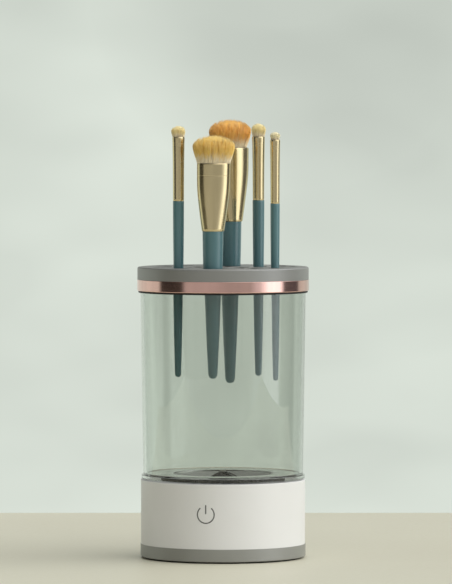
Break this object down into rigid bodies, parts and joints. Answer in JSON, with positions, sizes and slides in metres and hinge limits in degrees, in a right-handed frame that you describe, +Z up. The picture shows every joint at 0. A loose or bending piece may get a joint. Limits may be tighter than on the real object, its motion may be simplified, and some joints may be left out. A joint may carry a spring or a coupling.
{
  "type": "makeup brush cleaner",
  "caption": "Round battery-powered makeup brush cleaner: clear cup with an impeller on a motor base, under a lid whose silicone disc holds upright brushes.",
  "frame": {"origin": "centre of the foot ring's underside, on the surface that the cleaner stands on", "axes": "+Z up along the axis of the base, cup and lid; -Y towards the power mark at the front"},
  "size_m": [0.11, 0.11, 0.2812],
  "materials": {
    "base_white": "satin white shell",
    "base_grey": "matte grey",
    "icon_grey": "printed mark",
    "foot_rubber": "matte black rubber",
    "deck_charcoal": "fine-textured charcoal",
    "clear_cup": "clear, polished",
    "impeller_black": "black moulded",
    "rose_metal": "rose-gold, satin",
    "lid_silicone": "matte grey silicone",
    "steel": "bright steel",
    "magnet": "dark ferrite",
    "copper_winding": "enamelled copper",
    "bush_bronze": "sintered bronze",
    "washer_white": "white acetal",
    "board_green": "solder mask",
    "electrode": "copper pad",
    "capacitor": "sleeved can",
    "battery_wrap": "shrink wrap",
    "lead_red": "insulated wire",
    "handle_teal": "satin teal lacquer",
    "ferrule_gold": "satin champagne gold",
    "brush_hair": "soft two-tone bristles"
  },
  "bodies": {
    "base": {"base_shell": "base_white", "power_icon": "icon_grey", "bottom_cover": "base_grey", "foot_ring": "foot_rubber", "deck_plate": "base_white", "cup_gasket": "foot_rubber", "cover_screws": "steel", "touch_board": "board_green", "touch_electrode": "electrode", "motor_can": "steel", "motor_magnets": "magnet", "motor_end_cap": "deck_charcoal", "motor_bracket": "steel", "bracket_screws": "steel", "motor_screws": "steel", "battery_cell": "battery_wrap", "battery_cradle": "deck_charcoal", "battery_tabs": "steel", "battery_leads": "lead_red", "motor_leads": "lead_red", "touch_leads": "lead_red", "main_board": "board_green", "board_screws": "steel", "usb_c_socket": "steel", "board_chips": "impeller_black", "board_capacitor": "capacitor", "board_connectors": "impeller_black"},
    "rotor": {"motor_shaft": "steel", "motor_armature": "copper_winding", "driver_coupling": "impeller_black"},
    "cup": {"cup": "clear_cup", "shaft_bush": "bush_bronze", "shaft_seal": "foot_rubber"},
    "impeller": {"impeller_shaft": "steel", "thrust_washer": "washer_white", "impeller": "impeller_black", "impeller_nut": "impeller_black", "driven_coupling": "impeller_black"},
    "lid": {"lid_ring": "rose_metal", "lid_frame": "base_grey", "lid_seal": "foot_rubber", "brush_holder": "lid_silicone"},
    "face_brush_front": {"face_brush_front_handle": "handle_teal", "face_brush_front_ferrule": "ferrule_gold", "face_brush_front_hair": "brush_hair"},
    "face_brush_rear": {"face_brush_rear_handle": "handle_teal", "face_brush_rear_ferrule": "ferrule_gold", "face_brush_rear_hair": "brush_hair"},
    "eye_brush_left": {"eye_brush_left_handle": "handle_teal", "eye_brush_left_ferrule": "ferrule_gold", "eye_brush_left_hair": "brush_hair"},
    "eye_brush_right": {"eye_brush_right_handle": "handle_teal", "eye_brush_right_ferrule": "ferrule_gold", "eye_brush_right_hair": "brush_hair"},
    "liner_brush": {"liner_brush_handle": "handle_teal", "liner_brush_ferrule": "ferrule_gold", "liner_brush_hair": "brush_hair"}
  },
  "joints": [
    {"name": "cup_lift", "type": "slide", "parent": "base", "child": "cup", "axis": [0, 0, 1], "range_m": [0, 0.05]},
    {"name": "lid_lift", "type": "slide", "parent": "cup", "child": "lid", "axis": [0, 0, 1], "range_m": [0, 0.09]},
    {"name": "motor_spin", "type": "hinge", "parent": "base", "child": "rotor", "pos_m": [0, 0, 0.02], "axis": [0, 0, 1], "continuous": true},
    {"name": "impeller_spin", "type": "hinge", "parent": "cup", "child": "impeller", "pos_m": [0, 0, 0.045], "axis": [0, 0, 1], "continuous": true},
    {"name": "face_brush_front_pull", "type": "slide", "parent": "lid", "child": "face_brush_front", "axis": [0, 0, 1], "range_m": [0, 0.085]},
    {"name": "face_brush_rear_pull", "type": "slide", "parent": "lid", "child": "face_brush_rear", "axis": [0, 0, 1], "range_m": [0, 0.085]},
    {"name": "eye_brush_left_pull", "type": "slide", "parent": "lid", "child": "eye_brush_left", "axis": [0, 0, 1], "range_m": [0, 0.085]},
    {"name": "eye_brush_right_pull", "type": "slide", "parent": "lid", "child": "eye_brush_right", "axis": [0, 0, 1], "range_m": [0, 0.085]},
    {"name": "liner_brush_pull", "type": "slide", "parent": "lid", "child": "liner_brush", "axis": [0, 0, 1], "range_m": [0, 0.085]}
  ],
  "couplings": [
    {"joint": "impeller_spin", "follows": "motor_spin", "ratio": 1}
  ]
}
